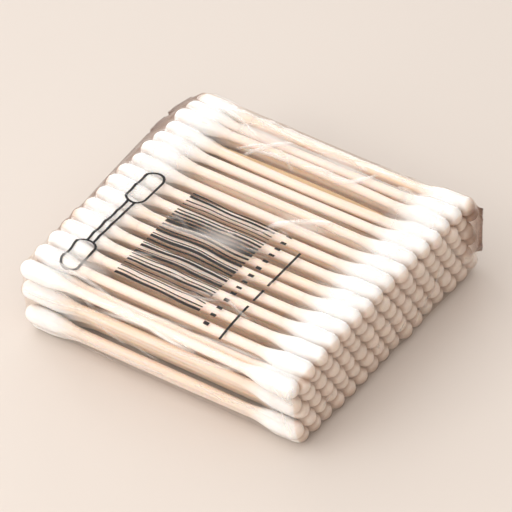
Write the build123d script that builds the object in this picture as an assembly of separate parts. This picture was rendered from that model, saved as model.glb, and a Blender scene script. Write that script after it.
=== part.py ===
from build123d import *
import math
import os

# Pack of cotton swabs in a clear film bag, in millimetres.
# X runs along the swabs, +Y is the sealed side of the bag, +Z is up.
# The origin is at the middle of the face that the pack lies on.

# Swab: a wooden dowel with a cotton bud wound on each end.
swab_length = 73.0
stick_across_flats = 2.1
stick_cover = 2.0          # cotton past each end of the stick
bud_length = 14.0
bud_across_flats = 4.2
bud_full_reach = 5.0       # from the tip to the fullest section
bud_shoulder_reach = 1.2   # from the tip to the edge of the rounded tip
bud_shoulder_share = 0.74  # of the fullest section
winding_gap = 0.02         # between the cotton and the wood it is wound on
facets = 6                 # sides of the dowel and of a bud pressed among its neighbours

# Bundle: layers of swabs, each nested half a pitch into the one below.
layers = 6
swabs_in_layer = 16
side_gap = 0.38            # between buds side by side
nest_gap = 0.06            # between buds of neighbouring layers

# Film bag: one sheet drawn tight round the bundle and sealed along the far side.
film_thickness = 0.1
film_gap = 0.15            # between the cotton and the film round it
film_end_gap = 0.25        # between the bud tips and the film, at the near corners
end_slant = 0.5            # how much further each end wall stands out at the sealed side
fold_reach = 2.6           # folded film past the near corners of the end walls
end_bevel_run = 2.4        # film rounding over the tips, along the swabs
end_bevel_drop = 1.6       # and across them
sag_depth = 0.9            # film drawn down over the bare sticks
waist_depth = 0.5          # film drawn in over them along the sides
waist_ramp = 8.0           # length over which it comes in
ear_foot_layer = 3         # layer that the right fold comes down to
flap_first_place = 3       # top swab at which the left fold starts
flap_wide_place = 12       # top swab at which it is widest
flap_drop_share = 0.3      # of a layer, from the top swabs' axes down to the left fold
seal_height = 5.0          # lap seal along the sealed side
seal_lift = 0.15           # its extra layer of film

# Worked out from the sizes above.
half_length = swab_length / 2
corner_factor = 1 / math.cos(math.pi / facets)
bud_half_flat = bud_across_flats / 2
bud_corner = bud_half_flat * corner_factor
stick_corner = stick_across_flats / 2 * corner_factor
bore_corner = stick_corner + winding_gap
pitch = bud_across_flats + side_gap
nest_slope = 2 * math.pi / facets
nest_reach = bud_across_flats + nest_gap - pitch / 2 * math.cos(nest_slope)
layer_height = nest_reach / math.sin(nest_slope)
lowest_axis = film_thickness + film_gap + bud_corner
pack_height = 2 * lowest_axis + (layers - 1) * layer_height
last_place = swabs_in_layer - 1
nest_share = 0.25          # of a pitch, to either side in turn
half_width = (last_place / 2 + nest_share) * pitch + bud_half_flat
end_wall = half_length + film_end_gap


def layer_axis(layer):
    """Height of a layer's swab axes. Layer 0 is the top one."""
    return lowest_axis + (layers - 1 - layer) * layer_height


def swab_side(layer, place):
    """Where a swab lies across the pack, counted from the near side."""
    nest = nest_share if layer % 2 else -nest_share
    return (place - last_place / 2 + nest) * pitch


def ring(x, corner):
    """Corners of a six-sided section across the swab, one corner up."""
    turns = [2 * math.pi * step / facets for step in range(facets)]
    return [Vector(x, corner * math.sin(turn), corner * math.cos(turn)) for turn in turns]


def band(first, second):
    """Flat facets between two rings."""
    sides = zip(first, first[1:] + first[:1], second[1:] + second[:1], second)
    return [Face(Wire.make_polygon(side)) for side in sides]


def make_stick():
    """A dowel from inside one bud to inside the other."""
    reach = half_length - stick_cover
    near, far = ring(-reach, stick_corner), ring(reach, stick_corner)
    ends = [Face(Wire.make_polygon(end)) for end in (near, far)]
    return Solid(Shell(ends + band(near, far)))


def make_bud():
    """The right bud: a taper wound onto the stick, a full body and a rounded tip, bored for the stick."""
    root = ring(half_length - bud_length, bore_corner)
    full = ring(half_length - bud_full_reach, bud_corner)
    shoulder = ring(half_length - bud_shoulder_reach, bud_corner * bud_shoulder_share)
    bore_end = ring(half_length - stick_cover + winding_gap, bore_corner)
    tip = Vector(half_length, 0, 0)
    tip_sides = zip(shoulder, shoulder[1:] + shoulder[:1])
    skin = band(root, full) + band(full, shoulder)
    skin += [Face(Wire.make_polygon((a, b, tip))) for a, b in tip_sides]
    bore = band(root, bore_end) + [Face(Wire.make_polygon(bore_end))]
    return Solid(Shell(skin + bore))


def laid_in_layer(piece, layer):
    """One copy of a piece for each swab of a layer."""
    height = layer_axis(layer)
    return [Pos(0, swab_side(layer, place), height) * piece for place in range(swabs_in_layer)]


def bundle_outline():
    """The outline that a tight sheet takes round the bundle, across the swabs."""
    edges = []
    for layer in range(layers):
        for place in (0, last_place):
            centre = Pos(swab_side(layer, place), layer_axis(layer))
            edges += (centre * RegularPolygon(bud_corner, facets, rotation=90)).edges()
    return make_hull(edges)


def trimmed(body, corner, along, rising, outward):
    """The body cut back to a plane through a corner and two directions in it."""
    wall = Plane(origin=corner, x_dir=along, z_dir=outward * along.cross(rising))
    return split(body, bisect_by=wall, keep=Keep.BOTTOM)


def waist_cut(edge, depth):
    """What the film, drawn in by a depth, takes off the bag along one edge of its outline."""
    along = (edge @ 1 - edge @ 0).normalized()
    foot = Vector(0, edge.center().Y, edge.center().Z)
    outward = along.cross(Vector(1, 0, 0))
    if outward.dot(foot - Vector(0, 0, pack_height / 2)) < 0:
        outward = -outward
    flank = half_length - bud_full_reach
    corners = (
        (-flank, 0),
        (waist_ramp - flank, -depth),
        (flank - waist_ramp, -depth),
        (flank, 0),
    )
    plane = Plane(origin=foot, x_dir=(1, 0, 0), z_dir=Vector(1, 0, 0).cross(outward))
    return extrude(plane * make_face(Polyline(*corners, close=True)), amount=2 * half_width, both=True)


def bag_body(clearance):
    """The solid within one face of the film, which stands clear of the cotton by a clearance."""
    reach = end_wall + clearance - film_gap
    room = reach + end_slant
    across = Plane(origin=(-room, 0, 0), x_dir=(0, 1, 0), z_dir=(1, 0, 0))
    outline = across * offset(bundle_outline(), clearance, kind=Kind.INTERSECTION)
    body = extrude(outline, amount=2 * room)
    middle = pack_height / 2
    top = pack_height - lowest_axis + bud_corner + clearance
    for end in (-1, 1):
        along = Vector(end * end_slant, 2 * half_width, 0)
        corner = Vector(end * reach, -half_width, middle)
        body = trimmed(body, corner, along, Vector(0, 0, 1), end)
        for side in (-1, 1):
            rise = side * (top - middle - end_bevel_drop)
            edge = corner + Vector(0, 0, rise)
            rounding = Vector(-end * end_bevel_run, 0, side * end_bevel_drop)
            body = trimmed(body, edge, along, rounding, end * side)
    underneath, *sides, above = outline.edges().sort_by(Axis.Z)
    body -= waist_cut(above, sag_depth)
    for edge in sides:
        body -= waist_cut(edge, waist_depth)
    return body


def wall_place(side):
    """Middle of the film in the right end wall, at a place across the pack."""
    share = (side + half_width) / (2 * half_width)
    return end_wall + film_thickness / 2 + end_slant * share


def make_ear():
    """The pinched film standing up along the right end wall, at the last swab."""
    side = swab_side(0, last_place)
    wall, tip = wall_place(side), end_wall + fold_reach
    slope = tip - wall
    low, high = layer_axis(ear_foot_layer), layer_axis(0)
    corners = ((wall, low), (tip, low + slope), (tip, high - slope), (wall, high))
    plane = Plane(origin=(0, side + film_thickness, 0), x_dir=(1, 0, 0), z_dir=(0, -1, 0))
    return extrude(plane * make_face(Polyline(*corners, close=True)), amount=2 * film_thickness)


def make_flap():
    """The folded film lying along the left end wall, widest towards the sealed side."""
    first, last = swab_side(0, flap_first_place), swab_side(0, last_place)
    tip = end_wall + fold_reach
    corners = (
        (-wall_place(first), first),
        (-tip, swab_side(0, flap_wide_place)),
        (-tip, swab_side(0, flap_wide_place + 1)),
        (-wall_place(last), last),
    )
    height = layer_axis(0) - flap_drop_share * layer_height
    plane = Plane(origin=(0, 0, height - film_thickness))
    return extrude(plane * make_face(Polyline(*corners, close=True)), amount=2 * film_thickness)


def make_bag():
    """The film itself, with its lap seal along the far side and a fold at each end."""
    outer = bag_body(film_gap + film_thickness)
    middle = (layer_axis(layers - 2) + layer_axis(1)) / 2
    seal_room = Pos(0, half_width, middle) * Box(swab_length, half_width, seal_height)
    seal = (Pos(0, seal_lift, 0) * outer) & seal_room
    folds = make_ear() + make_flap()
    return outer + seal + folds - bag_body(film_gap)


os.makedirs("parts", exist_ok=True)
right_bud = make_bud()
pieces = {
    "sticks": make_stick(),
    "left_buds": mirror(right_bud, about=Plane.YZ),
    "right_buds": right_bud,
}
for layer in range(layers):
    for name, piece in pieces.items():
        group = Compound(children=laid_in_layer(piece, layer))
        export_step(group, f"parts/{name}_layer_{layer + 1}.step")
export_step(make_bag(), "parts/film_bag.step")
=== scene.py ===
import math

import bpy
import numpy as np
from mathutils import Matrix, Vector


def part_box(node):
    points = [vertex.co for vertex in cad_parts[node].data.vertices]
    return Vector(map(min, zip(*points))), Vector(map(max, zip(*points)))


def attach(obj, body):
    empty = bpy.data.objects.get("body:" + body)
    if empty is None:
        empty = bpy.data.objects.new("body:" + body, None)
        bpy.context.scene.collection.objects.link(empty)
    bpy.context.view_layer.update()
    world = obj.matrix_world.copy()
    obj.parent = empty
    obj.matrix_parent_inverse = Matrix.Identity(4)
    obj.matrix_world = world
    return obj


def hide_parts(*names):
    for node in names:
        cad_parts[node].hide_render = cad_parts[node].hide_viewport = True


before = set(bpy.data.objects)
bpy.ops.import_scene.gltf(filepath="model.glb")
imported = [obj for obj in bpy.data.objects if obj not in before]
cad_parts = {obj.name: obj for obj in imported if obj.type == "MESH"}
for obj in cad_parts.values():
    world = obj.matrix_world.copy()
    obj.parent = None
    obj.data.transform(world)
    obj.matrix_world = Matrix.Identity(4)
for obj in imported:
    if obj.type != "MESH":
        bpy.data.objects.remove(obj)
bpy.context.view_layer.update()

# Pack of cotton swabs in a clear film bag. Driving sizes in millimetres, in the frame's own axes:
# X along the swabs, +Y the sealed side, +Z up.
MM = 0.001
SEED = 11
TINY = 1e-9                 # keeps a division from failing
AT_EDGE = 1e-6              # how near a share comes to the edge that it lies on

# Swabs
LAYERS = 6
SWABS_IN_LAYER = 16
BUD_RADIUS = 2.2
BUD_LENGTH = 14.6
TIP_LENGTH = 2.4            # rounded end of a bud
FULL_LENGTH = 6.4           # from the tip to where the taper starts
STICK_RADIUS = 1.1
STICK_COVER = 2.0           # cotton past the end of the stick
ROOT_COVER = 0.03           # cotton over the stick where a bud ends
ROOT_EASE = 5.0             # length over which a bud's unevenness fades there
PRESSED_SIDES = 6           # a bud is pressed to so many sides, as in the frame
PRESSED_SHARE = 0.038       # how far it is flattened
LUMP_SHARE = 0.035          # unevenness of the winding
LUMP_WAVES = ((1, 0.35), (2, 0.5), (3, 0.8), (5, 1.3))  # waves round a bud, and their rate along it
LUMP_FADE = 0.6             # how much weaker the shorter waves are
LUMP_PART, WINDING_PART = 0.5, 0.22
WINDING_TURN = 5.2          # twist of the winding along a bud
GIRTH_SPREAD = 0.035        # how much thicker or thinner a bud is than another
BUD_SIDES = 30
BUD_RINGS = 30
RING_CROWDING = 1.55        # rings lie closer together towards the tip
PROFILE_STEPS = 120         # steps along a bud when the film is held off it
# Painted shade: cotton lying close between neighbouring buds near their tips is tinted brown, in place of the
# shade that falls there
PAINTED_SHADE_WIDTH = 1.7            # gap to a neighbouring bud below which cotton lies in shade
PAINTED_SHADE_REACH = 4.5            # how far from the tips that shade goes
STICK_SIDES = 16
STICK_RINGS = 15
STICK_OVAL, STICK_RIPPLE = 0.02, 0.012
END_JITTER = 0.16           # sideways scatter of the bud centres
TIP_JITTER = 0.40           # scatter of the tips along the swab
BOW_JITTER = 0.30           # bend of a stick at its middle
PARTED_SWABS = (12, 13)     # top swabs that lean apart and show the layer below
PARTED_BOW = 1.05
RISEN_SWABS = ((2, 11), (2, 12))  # layer and place of swabs that rise into that gap
RISEN_BOW = 1.3
# Painted shade: the risen swabs' low tone makes their sticks golden, as shaded wood in the gap looks
RISEN_PAINTED_SHADE = -0.7           # their tone, which makes them golden
OUTER_TONE = 0.45           # least tone of a stick on the outside, where one is the palest
# Painted shade: the lower tone of the sticks inside the bundle makes them darker and more golden, as wood in
# shade looks
INNER_PAINTED_SHADE = 0.30           # tone of the sticks inside the bundle, as a share of that

# How swabs at the bundle's edges give under the film, by layer and place:
# across and up at the left end, then at the right end
EDGE_GIVE = {
    (1, 0): ((-0.9, -1.5), (-1.3, -2.1)),
    (1, 1): ((-0.3, -0.6), (-0.5, -0.9)),
    (1, 2): ((0.0, -0.2), (-0.1, -0.4)),
    (1, 14): ((-0.3, -0.5), (0.0, -0.1)),
    (1, 15): ((-0.5, -1.3), (0.0, -0.3)),
    (3, 0): ((-0.4, -0.5), (-0.4, -0.5)),
    (5, 0): ((-0.4, -0.4), (-0.4, -0.4)),
}

# Film
FILM_CELL = 0.46
OUTLINE_WAYS, OUTLINE_POINTS = 720, 4000
FILM_CLEARANCE = 0.16       # from the cotton to the film
END_GAP = 0.35              # from the tips to the end walls before they settle
END_SLANT = 0.5             # how much further the end walls stand out at the sealed side
EAR_LOW, EAR_HIGH = 9.3, 22.6  # right-hand fold, standing up
EAR_REACH = 2.9             # how far it goes past the tips
FLAP_HEIGHT = 19.6          # left-hand fold, lying flat
# Left-hand fold past the tips, by place across the pack
FLAP_REACH = ((-22.0, 0.3), (-2.0, 1.7), (9.0, 2.3), (20.0, 2.9), (27.0, 2.9), (32.0, 1.6))
RELAX_ROUNDS = 110
RELAX_STEP = 0.5
SUCTION = {"top": 0.006, "side": 0.003, "end": 0.004, "trough": 0.002, "bottom": 0.0}
EDGE_PAINTED_REFLECTION = 0.45            # tint along the film's far top edge, where it is seen edge-on: darkened further as painted reflection of dark surroundings
EDGE_FADE = 1.6             # cells from the edge to where it has faded out
END_PAINTED_REFLECTION = 0.14             # warm tint of the film on the end walls: painted warm reflection, with a little gathered film
FOOT_PAINTED_SHADOW = 0.7             # darkening of the film towards the floor at the foot of the right end wall: painted shadow
FOOT_HEIGHT = 5.5
FOLD_SPREAD = 4.4           # how far the doubled film of a fold reaches
CREASE_FULL = 0.5           # height of a crease that whitens the film most
CREASE_SHARPNESS = 1.5
WALL_GAIN, WALL_START = 2.0, 0.4  # how a wall's creases fade where the film turns away
TROUGH_REACH = 22.0         # half the length of the sunk strip over the parted swabs
TROUGH_WIDTH = 2.2
TROUGH_EASE = 8.0
SEAL_LOW, SEAL_HIGH = 9.2, 14.2  # lap seal along the far side
SEAL_LIFT = 0.22            # how far it stands out
SEAL_RAMP = 0.35            # width of its sloping edges
SEAL_GAIN, SEAL_START = 4.0, 2.4  # how it fades where the film turns away

# Print on the top film: generic marks, places in the top plane
STRIPE_BLOCK = {"x": (-17.0, 5.8), "y": (-30.0, 2.2), "pitch": 1.18, "thin": 0.20, "thick": 0.80}
SWAB_MARK = {"x": -26.8, "y": (-34.3, 2.4), "bulb": 2.3, "bulb_run": 6.0, "stroke": 0.30, "stick": 0.8}
DOT_ROW = {"x": (8.4, 9.8), "y": (-32.5, 1.2), "pitch": 2.5, "share": 0.32}
DASH_ROW = {"x": (13.8, 14.4), "runs": ((-33.5, -22.5), (-20.8, -16.6), (-14.9, -2.0))}
PRINT_WARP = 3.2            # how far the print strays with the film
PRINT_FLOOR = 17.0          # the print lies on film above this height

# Camera, by the photograph's perspective
CAMERA_TURN = 33.55
CAMERA_RISE = 40.95
CAMERA_LENS = 421.875
SENSOR_WIDTH = 36.0
CAMERA_DISTANCE = 1328.0
CAMERA_TARGET = (0.0, 1.145, 20.66)
CAMERA_OFFSET_RIGHT = 0.11
CAMERA_OFFSET_UP = -6.2

rng = np.random.default_rng(SEED)


# Layout of the swabs, read from the frame

def layer_layout(layer):
    """Tip places, height and side places of one layer's swabs, in millimetres."""
    left_low, left_high = (np.array(c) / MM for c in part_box(f"left_buds_layer_{layer}"))
    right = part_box(f"right_buds_layer_{layer}")[1][0] / MM
    corner = (left_high[2] - left_low[2]) / 2
    flat = corner * math.cos(math.pi / PRESSED_SIDES)
    sides = np.linspace(left_low[1] + flat, left_high[1] - flat, SWABS_IN_LAYER)
    return left_low[0], right, (left_low[2] + left_high[2]) / 2, sides


def lay_swabs():
    """Arrays over all swabs, layer by layer: both tip points, the bow at the middle and the girths."""
    tips, bows, girths = [], [], []
    for layer in range(1, LAYERS + 1):
        left, right, height, sides = layer_layout(layer)
        for place, side in enumerate(sides):
            ends = np.array([(left, side, height), (right, side, height)])
            ends[:, 0] += rng.uniform(-TIP_JITTER, TIP_JITTER)
            ends[:, 1:] += rng.uniform(-END_JITTER, END_JITTER, (2, 2))
            ends[:, 1:] += EDGE_GIVE.get((layer, place), ((0, 0), (0, 0)))
            bow = rng.uniform(-BOW_JITTER, BOW_JITTER, 2)
            if layer == 1 and place in PARTED_SWABS:
                bow[0] = PARTED_BOW * (-1 if place == PARTED_SWABS[0] else 1)
            if (layer, place) in RISEN_SWABS:
                bow[1] = RISEN_BOW
            tips.append(ends)
            bows.append(bow)
            girths.append(rng.uniform(1 - GIRTH_SPREAD, 1 + GIRTH_SPREAD, 2))
    return np.array(tips), np.array(bows), np.array(girths)


TIPS, BOWS, GIRTHS = lay_swabs()


def stick_tones():
    """How pale each stick is: a random tone, lowered as painted shade for the sticks inside the bundle and
    the risen ones.
    """
    tones = rng.uniform(OUTER_TONE, 1, (LAYERS, SWABS_IN_LAYER))
    # Painted shade on the inner sticks and the risen ones
    tones[1:, 1:-1] *= INNER_PAINTED_SHADE
    for layer, place in RISEN_SWABS:
        tones[layer - 1, place] = RISEN_PAINTED_SHADE
    return tones.ravel()


TONES_AND_SHADE = stick_tones()


def axis_points(swab, x):
    """Points of a swab's bent axis at places along X, for one swab or for a swab at each place."""
    left, right = TIPS[swab, 0], TIPS[swab, 1]
    share = np.clip((x - left[..., 0]) / (right[..., 0] - left[..., 0]), 0, 1)
    bend = np.sin(math.pi * share)
    y = left[..., 1] + (right[..., 1] - left[..., 1]) * share + BOWS[swab, 0] * bend
    z = left[..., 2] + (right[..., 2] - left[..., 2]) * share + BOWS[swab, 1] * bend
    return np.stack([x, y, z], axis=-1)


def bud_radius(depth):
    """Radius of a bud at a depth from its tip."""
    tip = np.clip(depth / TIP_LENGTH, 0, 1)
    round_end = np.sqrt(np.clip(1 - (1 - tip) ** 2, 0, 1))
    taper = np.clip((depth - FULL_LENGTH) / (BUD_LENGTH - FULL_LENGTH), 0, 1)
    ease = taper * taper * (3 - 2 * taper)
    return BUD_RADIUS * round_end + (STICK_RADIUS + ROOT_COVER - BUD_RADIUS) * ease


# Meshes

def make_mesh(name, points, quads, triangles=(), **values):
    """A smooth mesh object from points in millimetres, with named values at its points."""
    mesh = bpy.data.meshes.new(name)
    faces = [tuple(q) for q in quads] + [tuple(t) for t in triangles]
    mesh.from_pydata((np.asarray(points) * MM).tolist(), [], faces)
    mesh.shade_smooth()
    for key, value in values.items():
        layer = mesh.attributes.new(key, "FLOAT", "POINT")
        layer.data.foreach_set("value", np.asarray(value, np.float32))
    piece = bpy.data.objects.new(name, mesh)
    bpy.context.scene.collection.objects.link(piece)
    return piece


def tube_faces(rings, sides):
    """Quads between rings of points, counted ring by ring."""
    ring, side = np.meshgrid(np.arange(rings - 1), np.arange(sides), indexing="ij")
    following = (side + 1) % sides
    first, second = ring * sides, (ring + 1) * sides
    quads = np.stack([first + side, first + following, second + following, second + side], axis=-1)
    return quads.reshape(-1, 4)


def wound_surface(turn, depth):
    """Uneven share of a bud's radius, over the turn round it and the depth from its tip."""
    uneven = np.zeros_like(turn + depth)
    for waves, reach in LUMP_WAVES:
        phase = rng.uniform(0, 2 * math.pi, 2)
        uneven += np.sin(waves * turn + phase[0]) * np.sin(reach * depth + phase[1]) / waves ** LUMP_FADE
    winding = np.sin(turn + WINDING_TURN * depth + rng.uniform(0, 2 * math.pi))
    return LUMP_SHARE * (LUMP_PART * uneven + WINDING_PART * winding)


def bud_points(swab, end):
    """Points of one bud: its tip, then ring after ring to the stick."""
    share = np.linspace(0, 1, BUD_RINGS + 1)[1:]
    depth = BUD_LENGTH * share ** RING_CROWDING
    turn = np.linspace(0, 2 * math.pi, BUD_SIDES, endpoint=False)
    turns, depths = np.meshgrid(turn, depth)
    full = np.clip(depths / TIP_LENGTH, 0, 1) * np.clip((BUD_LENGTH - depths) / ROOT_EASE, 0, 1)
    swell = 1 + full * (PRESSED_SHARE * np.cos(PRESSED_SIDES * turns) + wound_surface(turns, depths))
    radius = bud_radius(depths) * swell
    radius += (GIRTHS[swab][end] - 1) * BUD_RADIUS * full
    sign = 1 if end == 0 else -1
    x = TIPS[swab][end][0] + sign * depth
    centre = axis_points(swab, x)
    points = np.stack([
        np.broadcast_to(centre[:, None, 0], radius.shape),
        centre[:, None, 1] + radius * np.sin(turns) * sign,
        centre[:, None, 2] + radius * np.cos(turns),
    ], axis=-1).reshape(-1, 3)
    return np.vstack([TIPS[swab][end][None, :], points])


def painted_shade_depth(swab, end, points):
    """How deep points of a bud lie between its neighbours, from nothing to one: how much painted shade they
    get.
    """
    centres = TIPS[:, end, 1:]
    spacing = np.linalg.norm(centres - centres[swab], axis=1)
    gap = np.full(len(points), PAINTED_SHADE_WIDTH)
    for other in np.flatnonzero((spacing > 0) & (spacing < 3 * BUD_RADIUS)):
        away = np.linalg.norm((points - axis_points(other, points[:, 0]))[:, 1:], axis=1)
        depth = np.abs(points[:, 0] - TIPS[other, end, 0])
        gap = np.minimum(gap, away - bud_radius(depth))
    from_tip = np.abs(points[:, 0] - TIPS[swab, end, 0])
    return np.clip(1 - gap / PAINTED_SHADE_WIDTH, 0, 1) * np.clip(1 - from_tip / PAINTED_SHADE_REACH, 0, 1)


def make_buds(layer, end, name):
    """All buds at one end of a layer."""
    points, quads, triangles, tone, root, painted_shade = [], [], [], [], [], []
    side = np.arange(BUD_SIDES)
    cap = np.stack([np.zeros_like(side), 1 + (side + 1) % BUD_SIDES, 1 + side], axis=-1)
    start = 0
    for place in range(SWABS_IN_LAYER):
        swab = (layer - 1) * SWABS_IN_LAYER + place
        cloud = bud_points(swab, end)
        quads.append(tube_faces(BUD_RINGS, BUD_SIDES)[:, ::-1] + 1 + start)
        triangles.append(cap[:, ::-1] + start)
        points.append(cloud)
        tone.append(np.full(len(cloud), TONES_AND_SHADE[swab]))
        root.append(np.abs(cloud[:, 0] - cloud[0, 0]) / BUD_LENGTH)
        # Painted shade between neighbouring tips
        painted_shade.append(painted_shade_depth(swab, end, cloud))
        start += len(cloud)
    values = {"tone": np.concatenate(tone), "root": np.concatenate(root), "painted_shade": np.concatenate(painted_shade)}
    return make_mesh(name, np.vstack(points), np.vstack(quads), np.vstack(triangles), **values)


def stick_points(swab):
    """Points of one slightly bent, not quite round stick."""
    x = np.linspace(TIPS[swab][0][0] + STICK_COVER, TIPS[swab][1][0] - STICK_COVER, STICK_RINGS)
    turn = np.linspace(0, 2 * math.pi, STICK_SIDES, endpoint=False)
    phase = rng.uniform(0, 2 * math.pi, 3)
    uneven = STICK_OVAL * np.sin(2 * turn + phase[0]) + STICK_RIPPLE * np.sin(5 * turn + phase[1])
    radius = STICK_RADIUS * (1 + uneven)
    centre = axis_points(swab, x)
    return np.stack([
        np.broadcast_to(centre[:, None, 0], (STICK_RINGS, STICK_SIDES)),
        centre[:, None, 1] + radius * np.sin(turn),
        centre[:, None, 2] + radius * np.cos(turn),
    ], axis=-1).reshape(-1, 3)


def make_sticks(layer, name):
    """All sticks of a layer, with a tone for each."""
    points, quads, ends, tone = [], [], [], []
    count = STICK_RINGS * STICK_SIDES
    for place in range(SWABS_IN_LAYER):
        start, swab = place * count, (layer - 1) * SWABS_IN_LAYER + place
        points.append(stick_points(swab))
        quads.append(tube_faces(STICK_RINGS, STICK_SIDES) + start)
        ends.append([start + s for s in range(STICK_SIDES)][::-1])
        ends.append([start + count - STICK_SIDES + s for s in range(STICK_SIDES)])
        tone.append(np.full(count, TONES_AND_SHADE[swab]))
    return make_mesh(name, np.vstack(points), np.vstack(quads), ends, tone=np.concatenate(tone))


# Film

def bundle_outline():
    """Points close together along the tight outline round all the swabs, across the pack."""
    centre = TIPS.mean(axis=1)[:, 1:]
    turn = np.linspace(0, 2 * math.pi, OUTLINE_WAYS)
    ways = np.stack([np.cos(turn), np.sin(turn)], axis=-1)
    corners = centre[(centre @ ways.T).argmax(axis=0)] + (BUD_RADIUS + FILM_CLEARANCE) * ways
    run = np.concatenate([[0], np.cumsum(np.linalg.norm(np.diff(corners, axis=0), axis=1))])
    even = np.linspace(0, run[-1], OUTLINE_POINTS)
    return np.stack([np.interp(even, run, corners[:, axis]) for axis in range(2)], axis=-1)


def drawn_to_outline(flat):
    """Points of a square, from minus one to one, drawn out so that its edge is the bundle's outline."""
    outline = bundle_outline()
    middle = (outline.min(axis=0) + outline.max(axis=0)) / 2
    half = (outline.max(axis=0) - outline.min(axis=0)) / 2
    outline = outline - middle
    turn = np.arctan2(outline[:, 1], outline[:, 0])
    order = np.argsort(turn)
    way = flat * half
    angle = np.arctan2(way[:, 1], way[:, 0])
    reach = np.interp(angle, turn[order], np.linalg.norm(outline, axis=1)[order], period=2 * math.pi)
    oblong = 1 / np.maximum(np.abs(np.cos(angle)) / half[0], np.abs(np.sin(angle)) / half[1])
    return middle + way * (reach / oblong)[:, None]


def box_faces(counts):
    """Quads over the six sides of a box, by the numbers that its lattice points have."""
    quads = []
    for axis in range(3):
        first, second = (axis + 1) % 3, (axis + 2) % 3
        a, b = np.meshgrid(np.arange(counts[first]), np.arange(counts[second]), indexing="ij")
        for level in (0, counts[axis]):
            corners = []
            for da, db in ((0, 0), (1, 0), (1, 1), (0, 1)):
                ijk = np.zeros(a.shape + (3,), int)
                ijk[..., axis], ijk[..., first], ijk[..., second] = level, a + da, b + db
                row = ijk[..., 0] * (counts[1] + 1) + ijk[..., 1]
                corners.append(row * (counts[2] + 1) + ijk[..., 2])
            face = np.stack(corners, axis=-1).reshape(-1, 4)
            quads.append(face if level else face[:, ::-1])
    return np.vstack(quads)


def film_cage():
    """Points and quads of a finely divided bag round the bundle, with slightly slanted ends."""
    low, high = (np.array(c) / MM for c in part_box("film_bag"))
    reach = (TIPS[:, 1, 0].mean() - TIPS[:, 0, 0].mean()) / 2 + END_GAP
    counts = np.ceil(np.array([2 * reach, high[1] - low[1], high[2] - low[2]]) / FILM_CELL).astype(int)
    used, quads = np.unique(box_faces(counts), return_inverse=True)
    quads = quads.reshape(-1, 4)
    share = np.stack([
        used // ((counts[1] + 1) * (counts[2] + 1)),
        used // (counts[2] + 1) % (counts[1] + 1),
        used % (counts[2] + 1),
    ], axis=-1) / counts
    across = drawn_to_outline(2 * share[:, 1:] - 1)
    x = (2 * share[:, 0] - 1) * (reach + END_SLANT * share[:, 1])
    return np.column_stack([x, across]), quads, share


def vertex_normals(points, quads):
    """Unit normals at the points of a quad mesh."""
    across = np.cross(points[quads[:, 2]] - points[quads[:, 0]], points[quads[:, 3]] - points[quads[:, 1]])
    normal = np.zeros_like(points)
    for corner in range(4):
        for axis in range(3):
            normal[:, axis] += np.bincount(quads[:, corner], across[:, axis], len(points))
    return normal / np.maximum(np.linalg.norm(normal, axis=1, keepdims=True), TINY)


def neighbour_pairs(quads):
    """Each pair of points joined by an edge, once."""
    pairs = np.vstack([quads[:, [c, (c + 1) % 4]] for c in range(4)])
    pairs.sort(axis=1)
    return np.unique(pairs, axis=0)


def neighbour_mean(points, pairs, degree):
    """Mean of each point's neighbours."""
    mean = np.zeros_like(points)
    for axis in range(3):
        mean[:, axis] += np.bincount(pairs[:, 0], points[pairs[:, 1], axis], len(points))
        mean[:, axis] += np.bincount(pairs[:, 1], points[pairs[:, 0], axis], len(points))
    return mean / degree[:, None]


def nearest_swabs(points, count=4):
    """The swabs whose axes lie nearest to each point, across the pack."""
    centre = TIPS.mean(axis=1)
    away = (points[:, 1:2] - centre[None, :, 1]) ** 2 + (points[:, 2:3] - centre[None, :, 2]) ** 2
    return np.argpartition(away, count, axis=1)[:, :count]


def push_clear(points, near, clearance):
    """Moves points out of the swabs near them."""
    depths = np.linspace(0, BUD_LENGTH, PROFILE_STEPS)
    radii = bud_radius(depths)
    for column in range(near.shape[1]):
        swab = near[:, column]
        x, left, right = points[:, 0], TIPS[swab, 0, 0], TIPS[swab, 1, 0]
        centre = axis_points(swab, x)
        centre[:, 0] = np.clip(x, left + BUD_RADIUS, right - BUD_RADIUS)
        depth = np.minimum(x - left, right - x)
        girth = np.where(x < 0, GIRTHS[swab, 0], GIRTHS[swab, 1])
        radius = np.where(depth < BUD_RADIUS, BUD_RADIUS, np.interp(depth, depths, radii)) * girth + clearance
        away = points - centre
        gap = np.linalg.norm(away, axis=1)
        inside = gap < radius
        scale = np.where(inside, radius / np.maximum(gap, TINY), 1)
        points = centre + away * scale[:, None]
    return points


def held_folds(points, share):
    """The points pinched into the right-hand ear and the left-hand flap, and where they are held."""
    tip = (TIPS[:, 1, 0].mean() - TIPS[:, 0, 0].mean()) / 2
    ear_side = layer_layout(1)[3][-1]
    right, left = share[:, 0] > 1 - AT_EDGE, share[:, 0] < AT_EDGE
    on_ear = right & (np.abs(points[:, 1] - ear_side) < FILM_CELL / 2)
    on_ear &= (points[:, 2] > EAR_LOW) & (points[:, 2] < EAR_HIGH)
    on_flap = left & (np.abs(points[:, 2] - FLAP_HEIGHT) < FILM_CELL / 2)
    on_flap &= (points[:, 1] > FLAP_REACH[0][0]) & (points[:, 1] < FLAP_REACH[-1][0])
    place = points.copy()
    place[on_ear, 0] = tip + EAR_REACH
    flap = np.interp(points[:, 1], [p[0] for p in FLAP_REACH], [p[1] for p in FLAP_REACH])
    place[on_flap, 0] = -(tip + flap[on_flap])
    held = on_ear | on_flap
    return held, place[held]


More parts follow.
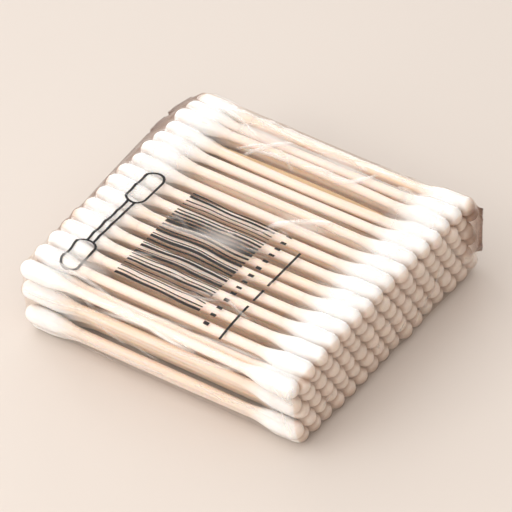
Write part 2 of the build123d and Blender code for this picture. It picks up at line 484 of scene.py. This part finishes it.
def suction_at(points, share):
    """Inward creep a round: most over the parted swabs, none underneath."""
    creep = np.full(len(points), SUCTION["side"])
    creep[share[:, 2] > 1 - AT_EDGE] = SUCTION["top"]
    creep[share[:, 2] < AT_EDGE] = SUCTION["bottom"]
    trough_side = np.mean([layer_layout(1)[3][place] for place in PARTED_SWABS])
    across = np.clip(1 - np.abs(points[:, 1] - trough_side) / TROUGH_WIDTH, 0, 1)
    along = np.clip((TROUGH_REACH - np.abs(points[:, 0])) / TROUGH_EASE, 0, 1)
    creep += np.where(share[:, 2] > 0.5, SUCTION["trough"] * across * along, 0)
    creep[np.abs(share[:, 0] - 0.5) > 0.5 - AT_EDGE] = SUCTION["end"]
    return creep


def film_tint_and_painted_shade(points, share, place):
    """How much the film is tinted at each point, from nothing to one: where it lies doubled in the ear and
    the flap, along the far top edge, on the end walls and at the foot of the right end wall; the brown is
    largely painted shade and painted reflection.
    """
    away = np.min([np.linalg.norm(points - spot, axis=1) for spot in place], axis=0)
    # Painted reflection of dark surroundings along the far top edge
    edge = points[(share[:, 1:] > 1 - AT_EDGE).all(axis=1)]
    nearest = np.abs(points[:, None, 0] - edge[None, :, 0]).argmin(axis=1)
    off_edge = np.linalg.norm((points - edge[nearest])[:, 1:], axis=1)
    along_edge = EDGE_PAINTED_REFLECTION * np.clip(EDGE_FADE - off_edge / FILM_CELL, 0, 1)
    fold = np.maximum(np.clip(1 - away / FOLD_SPREAD, 0, 1), along_edge)
    # Painted warm reflection on the end walls
    fold[np.abs(share[:, 0] - 0.5) > 0.5 - AT_EDGE] += END_PAINTED_REFLECTION
    # Painted shadow at the foot of the right end wall, darkest at the floor
    foot = np.clip(1 - points[:, 2] / FOOT_HEIGHT, 0, 1)
    fold = np.maximum(fold, np.where(share[:, 0] > 1 - AT_EDGE, FOOT_PAINTED_SHADOW * foot, 0))
    return np.clip(fold, 0, 1)


def drape_film():
    """The film: a bag drawn in over the bundle and held off the swabs."""
    points, quads, share = film_cage()
    pairs = neighbour_pairs(quads)
    degree = np.bincount(pairs.ravel(), minlength=len(points)).astype(float)
    near = nearest_swabs(points)
    held, place = held_folds(points, share)
    creep = suction_at(points, share)
    for _ in range(RELAX_ROUNDS):
        points = points + RELAX_STEP * (neighbour_mean(points, pairs, degree) - points)
        points -= vertex_normals(points, quads) * creep[:, None]
        points = push_clear(points, near, FILM_CLEARANCE)
        points[:, 2] = np.maximum(points[:, 2], 0)
        points[held] = place
    return points, quads, near, film_tint_and_painted_shade(points, share, place)


# Axis that each wall faces along, and which way
WALLS = {"top": (2, 1), "near": (1, -1), "far": (1, 1), "left": (0, -1), "right": (0, 1)}

# Creases as (wall, start, end, bow, height, width), in the wall's own two axes
CREASES = [
    ("top", (-36.0, -33.5), (-12.0, -36.0), 0.8, 0.45, 0.9),
    ("top", (-14.0, -35.8), (8.0, -34.6), -0.6, 0.40, 0.8),
    ("top", (4.0, -36.2), (30.0, -35.0), 0.5, 0.35, 0.9),
    ("top", (-15.0, 18.5), (-8.0, 28.5), 0.9, 0.55, 1.0),
    ("top", (-17.5, 19.5), (-11.0, 25.5), 0.7, 0.45, 0.6),
    ("top", (-16.0, 20.6), (-5.0, 22.6), 0.7, 0.50, 1.1),
    ("top", (2.5, 23.8), (13.5, 29.8), -3.2, 0.60, 1.1),
    ("top", (-2.0, 22.6), (6.0, 24.6), 0.6, 0.45, 0.7),
    ("top", (3.0, 1.0), (15.0, 9.8), 0.9, 0.55, 1.6),
    ("top", (-20.0, -12.0), (3.0, -9.0), 0.8, 0.30, 1.4),
    ("near", (-17.5, 20.8), (-5.0, 19.5), 0.5, 0.55, 0.9),
    ("near", (-6.0, 19.9), (11.0, 18.1), -0.5, 0.55, 0.9),
    ("near", (-36.0, 14.5), (-14.0, 18.0), -1.0, 0.50, 0.9),
    ("near", (-16.0, 17.5), (6.0, 18.5), 0.9, 0.45, 0.8),
    ("near", (-2.0, 16.0), (24.0, 19.0), -0.8, 0.40, 0.9),
    ("near", (9.0, 8.2), (28.0, 9.0), 0.6, 0.50, 0.7),
    ("near", (11.0, 9.6), (19.0, 7.6), -0.5, 0.45, 0.6),
    ("near", (18.0, 7.4), (26.0, 9.8), 0.5, 0.45, 0.6),
    ("near", (-19.0, 6.8), (3.0, 7.4), -0.4, 0.55, 0.9),
    ("near", (35.2, 15.0), (35.8, 21.0), 0.4, 0.50, 0.7),
    ("near", (30.5, 19.6), (35.6, 15.2), 0.5, 0.50, 0.8),
    ("near", (33.0, 12.5), (35.4, 6.0), -0.5, 0.45, 0.8),
    ("top", (-30.0, 30.5), (-14.0, 24.0), 1.2, 0.40, 0.8),
    ("top", (-24.0, 33.0), (-6.0, 30.0), -0.9, 0.35, 0.7),
    ("top", (-12.0, 26.0), (-2.0, 19.5), 0.6, 0.35, 0.7),
    ("top", (12.0, 31.0), (35.0, 31.5), 0.7, 0.30, 0.8),
]

# Smaller creases of a wall: how many, the room for them in its two axes, the most tilt and the lengths
SCATTERED = {
    "top": (26, (-36, 36), (-35, 36), 25, (3, 10)),
    "near": (26, (-36, 36), (2, 20), 30, (4, 14)),
    "far": (34, (-36, 36), (2, 21), 40, (4, 14)),
    "left": (18, (-34, 34), (3, 21), 60, (3, 8)),
    "right": (18, (-34, 34), (3, 21), 80, (3, 8)),
}
SCATTERED_BOW = 0.8
SCATTERED_HEIGHTS, SCATTERED_WIDTHS = (0.08, 0.3), (0.6, 1.1)

# Painted glare: milky patches where glare falls on the film, as (wall, centre, reach, amount), in the same
# two axes
GLARES = [
    ("top", (-15.0, 27.5), (10.0, 5.0), 0.60),
    ("top", (4.0, 29.5), (9.0, 4.0), 0.50),
    ("top", (9.0, 6.0), (7.0, 2.6), 0.55),
    ("top", (-3.0, -8.0), (8.0, 3.6), 0.50),
    ("top", (28.0, 24.0), (8.0, 9.0), 0.45),
    ("top", (-24.0, -31.0), (8.0, 3.0), 0.45),
    ("near", (-26.0, 17.5), (8.0, 2.5), 0.40),
]

# Inner face of the film clouded where it lies on the cotton, under the print
MISTS = [
    ("top", (-29.0, 1.0), (7.5, 42.0), 0.34),
    ("top", (29.5, 0.0), (8.5, 42.0), 0.30),
]


def on_wall(points, normal, wall):
    """Points in a wall's own two axes, and how far each of them faces as the wall does."""
    axis, sign = WALLS[wall]
    flat = points[:, [a for a in range(3) if a != axis]]
    return flat, np.clip(normal[:, axis] * sign * WALL_GAIN - WALL_START, 0, 1)


def patches(points, normal, places):
    """The strongest of some soft patches at each point."""
    amount = np.zeros(len(points))
    for wall, centre, reach, most in places:
        flat, facing = on_wall(points, normal, wall)
        away = np.linalg.norm((flat - centre) / np.array(reach), axis=1)
        amount = np.maximum(amount, most * facing * np.clip(1 - away ** 2, 0, 1))
    return amount


def crease_lift(flat, start, end, bow, height, width):
    """Height of one crease over points given in a wall's two axes."""
    start, end = np.array(start), np.array(end)
    run = end - start
    length = np.linalg.norm(run)
    along = (flat - start) @ run / length ** 2
    aside = (flat - start) @ np.array([-run[1], run[0]]) / length
    taper = np.clip(along, 0, 1) * np.clip(1 - along, 0, 1) * 4
    away = np.abs(aside - bow * taper)
    return height * np.sqrt(taper) * np.clip(1 - away / width, 0, 1) ** CREASE_SHARPNESS


def scattered_creases():
    """Smaller creases, scattered over each wall."""
    made = []
    for wall, (count, first, second, tilt, lengths) in SCATTERED.items():
        for _ in range(count):
            middle = np.array([rng.uniform(*first), rng.uniform(*second)])
            turn = math.radians(rng.uniform(-tilt, tilt))
            half = rng.uniform(*lengths) / 2 * np.array([math.cos(turn), math.sin(turn)])
            bow = rng.uniform(-SCATTERED_BOW, SCATTERED_BOW)
            height, width = rng.uniform(*SCATTERED_HEIGHTS), rng.uniform(*SCATTERED_WIDTHS)
            made.append((wall, middle - half, middle + half, bow, height, width))
    return made


def crease_film(points, quads):
    """The film with its creases raised, how milky they make it, partly as painted highlight, with the painted
    glare patches, and where it is clouded inside.
    """
    normal = vertex_normals(points, quads)
    lift = np.zeros(len(points))
    for wall, start, end, bow, height, width in CREASES + scattered_creases():
        flat, facing = on_wall(points, normal, wall)
        lift = np.maximum(lift, facing * crease_lift(flat, start, end, bow, height, width))
    # Milky creases, partly painted highlight, and painted glare patches
    milk_and_glare = np.maximum(lift / CREASE_FULL, patches(points, normal, GLARES))
    return points + normal * lift[:, None], np.clip(milk_and_glare, 0, 1), patches(points, normal, MISTS)


def seal_film(points, quads):
    """The film with the doubled strip of its lap seal raised, and how far each point is on it."""
    normal = vertex_normals(points, quads)
    from_edge = np.minimum(points[:, 2] - SEAL_LOW, SEAL_HIGH - points[:, 2])
    sealed = np.clip(from_edge / SEAL_RAMP, 0, 1) * np.clip(normal[:, 1] * SEAL_GAIN - SEAL_START, 0, 1)
    return points + normal * (SEAL_LIFT * sealed)[:, None], sealed


def make_film():
    """The film bag as one closed thin surface."""
    points, quads, near, fold = drape_film()
    points, crease, mist = crease_film(points, quads)
    points, sealed = seal_film(points, quads)
    points = push_clear(points, near, FILM_CLEARANCE)
    points[:, 2] = np.maximum(points[:, 2], 0)
    return make_mesh("film_bag_clear", points, quads, fold=fold, crease=crease, mist=mist, sealed=sealed)


# Materials

class Nodes:
    """A material's node tree, built a node at a time."""

    def __init__(self, name):
        self.material = bpy.data.materials.new(name)
        self.material.use_nodes = True
        self.tree = self.material.node_tree
        self.tree.nodes.clear()

    def add(self, kind, inputs=None, **settings):
        """A new node, with its inputs given as values or as links."""
        node = self.tree.nodes.new(kind)
        for key, value in settings.items():
            setattr(node, key, value)
        for key, value in (inputs or {}).items():
            if isinstance(value, bpy.types.NodeSocket):
                self.tree.links.new(value, node.inputs[key])
            else:
                node.inputs[key].default_value = value
        return node

    def math(self, operation, *values, clamp=False):
        """The result of a sum, product or the like."""
        node = self.add("ShaderNodeMath", operation=operation, use_clamp=clamp)
        for index, value in enumerate(values):
            if isinstance(value, bpy.types.NodeSocket):
                self.tree.links.new(value, node.inputs[index])
            else:
                node.inputs[index].default_value = value
        return node.outputs[0]

    def object_place(self, scale):
        """Object coordinates, stretched."""
        coordinates = self.add("ShaderNodeTexCoord")
        mapping = self.add("ShaderNodeMapping", {"Vector": coordinates.outputs["Object"], "Scale": scale})
        return mapping.outputs["Vector"]

    def noise(self, scale, detail, distortion=0.0):
        """Noise over the object, by its scale along each axis."""
        return self.add("ShaderNodeTexNoise", {
            "Vector": self.object_place(scale), "Scale": 1.0, "Detail": detail, "Distortion": distortion,
        })

    def ramp(self, factor, stops):
        """A colour read off between stops."""
        node = self.add("ShaderNodeValToRGB", {"Fac": factor})
        elements = node.color_ramp.elements
        while len(elements) < len(stops):
            elements.new(0.5)
        for element, (place, colour) in zip(elements, stops):
            element.position = place
            element.color = (*colour, 1)
        return node.outputs["Color"]

    def output(self, shader):
        """The finished material."""
        self.add("ShaderNodeOutputMaterial", {"Surface": shader})
        return self.material


# Colours and settings of the wood and the cotton, with noise scales along X, Y and Z
# The golden and dark stops are reached mostly by the inner and risen sticks, where they are painted shade
WOOD_PAINTED_GOLDEN_SHADE, WOOD_DARK = (0.68, 0.47, 0.26), (0.93, 0.67, 0.44)
WOOD_MID, WOOD_PALE = (0.92, 0.73, 0.57), (0.92, 0.785, 0.70)
WOOD_STOPS = [(0.05, WOOD_PAINTED_GOLDEN_SHADE), (0.22, WOOD_DARK), (0.40, WOOD_MID), (0.60, WOOD_PALE)]
WOOD_GRAIN = (45, 1500, 1500)
GRAIN_PART, TONE_PART = 0.65, 0.35
COTTON_SHADE, COTTON_WHITE = (0.87, 0.85, 0.83), (0.94, 0.93, 0.92)
COTTON_STOPS = [(0.3, COTTON_SHADE), (0.62, COTTON_WHITE)]
# Painted shade: the brown of cotton deep between neighbouring tips, and how strongly it is laid on
COTTON_PAINTED_SHADE = (0.46, 0.31, 0.22)
PAINTED_SHADE_GAIN = 1.25
COTTON_CLOUDS, COTTON_FIBRES = (300, 300, 300), (2600, 700, 700)
BARE_FROM, BARE_TO = 0.58, 0.98  # shares of a bud over which wood starts to show through
BARE_STREAKS, BARE_SHIFT = 0.30, 0.15

# Colours and settings of the film
# The brown of the denser tints is painted shade and painted reflection of dark warm surroundings; doubled
# clear film by itself only greys a little
FILM_TINTS = [
    (0.0, (0.97, 0.962, 0.952)),
    (0.14, (0.93, 0.86, 0.80)),
    (0.4, (0.78, 0.68, 0.61)),
    (0.8, (0.48, 0.37, 0.32)),
]
HAZE_LIT, HAZE_GLOW, HAZE_MIX = (0.97, 0.94, 0.91), (0.97, 0.93, 0.89), 0.4
RIPPLES, CRINKLES, STREAKS = (110, 190, 190), (70, 240, 240), (90, 520, 520)
RIDGE_SHARPNESS = 8.0
MIRROR_LEAST, MIRROR_GAIN, MIRROR_POWER = 0.025, 0.8, 4.0
GLOSS_ROUGHNESS = 0.09
STREAK_GAIN, STREAK_LEAST = 1.3, 0.25
CREASE_POWER = 1.3
SEAL_MILK, RIDGE_MILK = 0.24, 0.015
LEAST_MIST = 0.01

# Colour and settings of the print
INK = (0.012, 0.011, 0.011)
INK_LEAST, INK_GAIN = 0.94, 0.08
PRINT_WAVES = (55, 80, 40)


def wood_colour(n):
    """Birch colour with lengthwise grain and a tone for each stick, which carries painted shade for the inner
    and risen sticks, and the grain itself.
    """
    tone = n.add("ShaderNodeAttribute", attribute_name="tone")
    grain = n.noise(WOOD_GRAIN, 5.0)
    mixed = n.math("ADD", n.math("MULTIPLY", grain.outputs["Fac"], GRAIN_PART),
                   n.math("MULTIPLY", tone.outputs["Fac"], TONE_PART))
    return n.ramp(mixed, WOOD_STOPS), grain.outputs["Fac"]


def cotton_colour(n):
    """White cotton with painted shade that turns it brown deep between neighbouring tips, thinning over the
    wood at its root.
    """
    cloud = n.noise(COTTON_CLOUDS, 4.0)
    white = n.ramp(cloud.outputs["Fac"], COTTON_STOPS)
    painted_shade = n.add("ShaderNodeAttribute", attribute_name="painted_shade")
    deep = n.math("MULTIPLY", painted_shade.outputs["Fac"], PAINTED_SHADE_GAIN, clamp=True)
    shaded = n.add("ShaderNodeMix", {"Factor": deep, "A": white, "B": (*COTTON_PAINTED_SHADE, 1)}, data_type="RGBA")
    wood, streak = wood_colour(n)
    root = n.add("ShaderNodeAttribute", attribute_name="root")
    thin = n.math("MULTIPLY_ADD", streak, BARE_STREAKS, n.math("SUBTRACT", root.outputs["Fac"], BARE_SHIFT))
    bare = n.add("ShaderNodeMapRange", {"Value": thin, "From Min": BARE_FROM, "From Max": BARE_TO},
                 interpolation_type="SMOOTHSTEP")
    colour = n.add("ShaderNodeMix", {
        "Factor": bare.outputs[0], "A": shaded.outputs["Result"], "B": wood,
    }, data_type="RGBA")
    return colour.outputs["Result"]


def cotton_material():
    """Soft matt cotton with faint fibre relief."""
    n = Nodes("cotton_white")
    colour = cotton_colour(n)
    fibre = n.noise(COTTON_FIBRES, 5.0)
    bump = n.add("ShaderNodeBump", {"Strength": 0.35, "Distance": 0.0001, "Height": fibre.outputs["Fac"]})
    rough = n.math("MULTIPLY_ADD", fibre.outputs["Fac"], 0.15, 0.82)
    shader = n.add("ShaderNodeBsdfPrincipled", {
        "Base Color": colour, "Roughness": rough, "Normal": bump.outputs["Normal"],
        "Sheen Weight": 0.25, "Sheen Roughness": 0.6, "Specular IOR Level": 0.2,
        "Subsurface Weight": 0.5, "Subsurface Radius": (1.0, 0.8, 0.65), "Subsurface Scale": 1.8 * MM,
    })
    return n.output(shader.outputs["BSDF"])


def wood_material():
    """Pale birch, bare and slightly rough."""
    n = Nodes("wood_birch")
    colour, grain = wood_colour(n)
    bump = n.add("ShaderNodeBump", {"Strength": 0.3, "Distance": 0.00008, "Height": grain})
    rough = n.math("MULTIPLY_ADD", grain, 0.25, 0.5)
    shader = n.add("ShaderNodeBsdfPrincipled", {
        "Base Color": colour, "Roughness": rough, "Normal": bump.outputs["Normal"], "Specular IOR Level": 0.3,
        "Subsurface Weight": 0.4, "Subsurface Radius": (1.0, 0.6, 0.35), "Subsurface Scale": 1.6 * MM,
    })
    return n.output(shader.outputs["BSDF"])


def within(n, value, low, high):
    """One where a value in metres lies between two places in millimetres, otherwise nothing."""
    above = n.math("GREATER_THAN", value, low * MM)
    return n.math("MULTIPLY", above, n.math("LESS_THAN", value, high * MM))


def stripe_block(n, x, y):
    """A block of stripes of uneven widths."""
    beat = n.math("DIVIDE", y, STRIPE_BLOCK["pitch"] * MM)
    rhythm = n.add("ShaderNodeTexWhiteNoise", {"W": n.math("FLOOR", beat)}, noise_dimensions="1D")
    spread = STRIPE_BLOCK["thick"] - STRIPE_BLOCK["thin"]
    width = n.math("MULTIPLY_ADD", rhythm.outputs["Value"], spread, STRIPE_BLOCK["thin"])
    stripes = n.math("LESS_THAN", n.math("FRACT", beat), width)
    block = n.math("MULTIPLY", within(n, x, *STRIPE_BLOCK["x"]), within(n, y, *STRIPE_BLOCK["y"]))
    return n.math("MULTIPLY", stripes, block)


def swab_outline(n, x, y):
    """The outline of a swab: a bulb at each end and two lines for the stick."""
    aside = n.math("SUBTRACT", x, SWAB_MARK["x"] * MM)
    first, last = SWAB_MARK["y"]
    marks = []
    for start in (first + SWAB_MARK["bulb"], last - SWAB_MARK["bulb"] - SWAB_MARK["bulb_run"]):
        nearest = n.math("MINIMUM", n.math("MAXIMUM", y, start * MM), (start + SWAB_MARK["bulb_run"]) * MM)
        span = n.math("SUBTRACT", y, nearest)
        away = n.math("SQRT", n.math("ADD", n.math("MULTIPLY", aside, aside), n.math("MULTIPLY", span, span)))
        rim = n.math("ABSOLUTE", n.math("SUBTRACT", away, SWAB_MARK["bulb"] * MM))
        marks.append(n.math("LESS_THAN", rim, SWAB_MARK["stroke"] * MM))
    bulb_length = 2 * SWAB_MARK["bulb"] + SWAB_MARK["bulb_run"]
    rail = n.math("ABSOLUTE", n.math("SUBTRACT", n.math("ABSOLUTE", aside), SWAB_MARK["stick"] * MM))
    rails = n.math("LESS_THAN", rail, SWAB_MARK["stroke"] * MM)
    marks.append(n.math("MULTIPLY", rails, within(n, y, first + bulb_length, last - bulb_length)))
    return marks


def mark_rows(n, x, y):
    """A row of dots and a row of dashes."""
    beat = n.math("FRACT", n.math("DIVIDE", y, DOT_ROW["pitch"] * MM))
    dots = n.math("LESS_THAN", n.math("ABSOLUTE", n.math("SUBTRACT", beat, 0.5)), DOT_ROW["share"] / 2)
    row = n.math("MULTIPLY", within(n, x, *DOT_ROW["x"]), within(n, y, *DOT_ROW["y"]))
    marks = [n.math("MULTIPLY", dots, row)]
    for run in DASH_ROW["runs"]:
        marks.append(n.math("MULTIPLY", within(n, x, *DASH_ROW["x"]), within(n, y, *run)))
    return marks


def printed_marks(n):
    """The print's mask, on the top of the film only, straying a little with it."""
    place = n.add("ShaderNodeTexCoord").outputs["Object"]
    warp = n.noise(PRINT_WAVES, 1.0)
    split = n.add("ShaderNodeSeparateXYZ", {"Vector": place})
    x, z = split.outputs["X"], split.outputs["Z"]
    stray = n.math("MULTIPLY_ADD", warp.outputs["Fac"], PRINT_WARP * MM, -PRINT_WARP / 2 * MM)
    y = n.math("ADD", split.outputs["Y"], stray)
    total = stripe_block(n, x, y)
    for mark in swab_outline(n, x, y) + mark_rows(n, x, y):
        total = n.math("MAXIMUM", total, mark)
    return n.math("MULTIPLY", total, n.math("GREATER_THAN", z, PRINT_FLOOR * MM))


def film_relief(n):
    """The film's ripples, its fine ridges, and the normal that both bend."""
    ripple = n.noise(RIPPLES, 3.0).outputs["Fac"]
    crinkle = n.noise(CRINKLES, 2.0, 0.7)
    valley = n.math("ABSOLUTE", n.math("MULTIPLY_ADD", crinkle.outputs["Fac"], 2.0, -1.0))
    ridge = n.math("POWER", n.math("SUBTRACT", 1.0, valley, clamp=True), RIDGE_SHARPNESS)
    waves = n.add("ShaderNodeBump", {"Strength": 0.25, "Distance": 0.0006, "Height": ripple})
    bump = n.add("ShaderNodeBump", {
        "Strength": 0.12, "Distance": 0.00035, "Height": ridge, "Normal": waves.outputs["Normal"],
    })
    return ripple, ridge, bump.outputs["Normal"]


def film_haze(n):
    """Milky film, lit from the front and from behind."""
    lit = n.add("ShaderNodeBsdfDiffuse", {"Color": (*HAZE_LIT, 1)})
    glow = n.add("ShaderNodeBsdfTranslucent", {"Color": (*HAZE_GLOW, 1)})
    return n.add("ShaderNodeMixShader", {0: HAZE_MIX, 1: lit.outputs[0], 2: glow.outputs[0]}).outputs[0]


def film_milk(n, patchy, ridge):
    """How milky the film is: along its creases, partly as painted highlight, in the painted glare patches, on
    the lap seal and on the fine ridges.
    """
    crease = n.add("ShaderNodeAttribute", attribute_name="crease")
    sealed = n.add("ShaderNodeAttribute", attribute_name="sealed")
    milky = n.math("MULTIPLY", n.math("POWER", crease.outputs["Fac"], CREASE_POWER), patchy, clamp=True)
    milky = n.math("MULTIPLY_ADD", sealed.outputs["Fac"], SEAL_MILK, milky)
    return n.math("MULTIPLY_ADD", ridge, RIDGE_MILK, milky, clamp=True)


def film_material():
    """Clear glossy film: see-through, printed in black, with gloss that grows at grazing angles."""
    n = Nodes("film_clear")
    ripple, ridge, normal = film_relief(n)
    facing = n.add("ShaderNodeLayerWeight", {"Blend": 0.5, "Normal": normal})
    grazing = n.math("POWER", facing.outputs["Facing"], MIRROR_POWER)
    mirror = n.math("MULTIPLY_ADD", grazing, MIRROR_GAIN, MIRROR_LEAST)
    fold = n.add("ShaderNodeAttribute", attribute_name="fold")
    # Film tinted where it lies doubled, and by painted shade and reflection
    clear = n.add("ShaderNodeBsdfTransparent", {"Color": n.ramp(fold.outputs["Fac"], FILM_TINTS)})
    haze = film_haze(n)
    streak = n.noise(STREAKS, 2.0)
    patchy = n.math("MULTIPLY_ADD", streak.outputs["Fac"], STREAK_GAIN, STREAK_LEAST)
    mist = n.add("ShaderNodeAttribute", attribute_name="mist")
    clouded = n.math("MULTIPLY_ADD", mist.outputs["Fac"], patchy, LEAST_MIST)
    misty = n.add("ShaderNodeMixShader", {0: clouded, 1: clear.outputs[0], 2: haze})
    ink = n.add("ShaderNodeBsdfDiffuse", {"Color": (*INK, 1)})
    cover = n.math("MULTIPLY_ADD", ripple, INK_GAIN, INK_LEAST, clamp=True)
    worn = n.math("MULTIPLY", printed_marks(n), cover)
    printed = n.add("ShaderNodeMixShader", {0: worn, 1: misty.outputs[0], 2: ink.outputs[0]})
    milky = film_milk(n, patchy, ridge)
    veil = n.add("ShaderNodeMixShader", {0: milky, 1: printed.outputs[0], 2: haze})
    gloss = n.add("ShaderNodeBsdfAnisotropic", {
        "Color": (1, 1, 1, 1), "Roughness": GLOSS_ROUGHNESS, "Normal": normal,
    })
    shine = n.add("ShaderNodeMixShader", {0: mirror, 1: veil.outputs[0], 2: gloss.outputs[0]})
    return n.output(shine.outputs[0])


# Studio

def add_camera():
    """A camera at the photograph's viewing angle."""
    turn, rise = math.radians(CAMERA_TURN), math.radians(CAMERA_RISE)
    back = Vector((math.sin(turn) * math.cos(rise), -math.cos(turn) * math.cos(rise), math.sin(rise)))
    right = Vector((math.cos(turn), math.sin(turn), 0))
    up = back.cross(right)
    look = Vector(CAMERA_TARGET) + right * CAMERA_OFFSET_RIGHT + up * CAMERA_OFFSET_UP
    data = bpy.data.cameras.new("camera")
    data.lens, data.sensor_width = CAMERA_LENS, SENSOR_WIDTH
    data.clip_start, data.clip_end = 0.05, 20
    camera = bpy.data.objects.new("camera", data)
    camera.matrix_world = Matrix.Translation((look + back * CAMERA_DISTANCE) * MM) @ Matrix(
        (right, up, back)).transposed().to_4x4()
    bpy.context.scene.collection.objects.link(camera)
    bpy.context.scene.camera = camera


# Softboxes as (name, direction, size, power, tint), in metres and watts
WHITE, WARM = (1.0, 1.0, 1.0), (1.0, 0.86, 0.74)
LIGHT_DISTANCE = 0.7
LIGHTS = [
    ("key", (-0.24, -0.36, 0.90), (0.6, 0.6), 1.2, WHITE),
    ("front", (-0.30, -0.86, 0.34), (0.5, 0.35), 1.2, WHITE),
    ("fill", (0.40, -0.62, 0.68), (0.5, 0.5), 1.1, WARM),
    ("streak", (-0.42, -0.66, 0.62), (0.5, 0.03), 0.7, WHITE),
    ("far", (-0.42, 0.87, 0.25), (0.5, 0.25), 1.0, WHITE),
    ("back", (-0.82, 0.33, 0.46), (0.14, 0.5), 0.5, WHITE),
]


def add_softbox(name, direction, size, power, tint):
    """A soft light aimed at the pack."""
    data = bpy.data.lights.new(name, "AREA")
    data.shape, data.size, data.size_y = "RECTANGLE", size[0], size[1]
    data.energy = power
    data.color = tint
    lamp = bpy.data.objects.new(name, data)
    away = Vector(direction).normalized()
    lamp.location = away * LIGHT_DISTANCE
    lamp.rotation_euler = away.to_track_quat("Z", "Y").to_euler()
    bpy.context.scene.collection.objects.link(lamp)


SKY_TOWARD = (-0.42, 0.05, 0.9)
SKY_FROM, SKY_TO = -0.4, 0.9
SKY_BRIGHT = (1.02, 1.02, 1.02)
SKY_DIM = (0.12, 0.07, 0.045)
FLOOR_COLOUR = (0.64, 0.575, 0.52)
FLOOR_HALF = 3.0


def add_sky():
    """Surroundings that are bright above and to the left, and dim and warm at the right."""
    world = bpy.data.worlds.new("studio")
    world.use_nodes = True
    tree = world.node_tree
    way = tree.nodes.new("ShaderNodeTexCoord")
    toward = tree.nodes.new("ShaderNodeVectorMath")
    toward.operation = "DOT_PRODUCT"
    toward.inputs[1].default_value = Vector(SKY_TOWARD).normalized()
    tree.links.new(way.outputs["Generated"], toward.inputs[0])
    sky = tree.nodes.new("ShaderNodeMapRange")
    sky.data_type = "FLOAT_VECTOR"
    value, from_low, from_high, to_low, to_high = sky.inputs[6:11]
    from_low.default_value = (SKY_FROM, SKY_FROM, SKY_FROM)
    from_high.default_value = (SKY_TO, SKY_TO, SKY_TO)
    to_low.default_value, to_high.default_value = SKY_DIM, SKY_BRIGHT
    tree.links.new(toward.outputs["Value"], value)
    tree.links.new(sky.outputs[1], tree.nodes["Background"].inputs["Color"])
    bpy.context.scene.world = world


def add_floor():
    """A plain pale floor."""
    floor_material = Nodes("floor_pale")
    paper = floor_material.add("ShaderNodeBsdfPrincipled", {
        "Base Color": (*FLOOR_COLOUR, 1), "Roughness": 0.9,
    })
    mesh = bpy.data.meshes.new("floor")
    corners = [(x * FLOOR_HALF, y * FLOOR_HALF, 0) for x, y in ((-1, -1), (1, -1), (1, 1), (-1, 1))]
    mesh.from_pydata(corners, [], [(0, 1, 2, 3)])
    floor = bpy.data.objects.new("floor", mesh)
    mesh.materials.append(floor_material.output(paper.outputs["BSDF"]))
    bpy.context.scene.collection.objects.link(floor)


def add_studio():
    """Soft surroundings, the softboxes and a plain pale floor."""
    add_sky()
    for light in LIGHTS:
        add_softbox(*light)
    add_floor()
    bpy.context.scene.view_settings.view_transform = "Standard"


# Assembly

def fit(piece, material, node):
    """Dresses a piece and puts it in place of its CAD node."""
    piece.data.materials.append(material)
    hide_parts(node)
    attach(piece, "root")


cotton, wood = cotton_material(), wood_material()
for layer in range(1, LAYERS + 1):
    fit(make_sticks(layer, f"birch_sticks_{layer}"), wood, f"sticks_layer_{layer}")
    fit(make_buds(layer, 0, f"cotton_left_{layer}"), cotton, f"left_buds_layer_{layer}")
    fit(make_buds(layer, 1, f"cotton_right_{layer}"), cotton, f"right_buds_layer_{layer}")
fit(make_film(), film_material(), "film_bag")
add_camera()
add_studio()
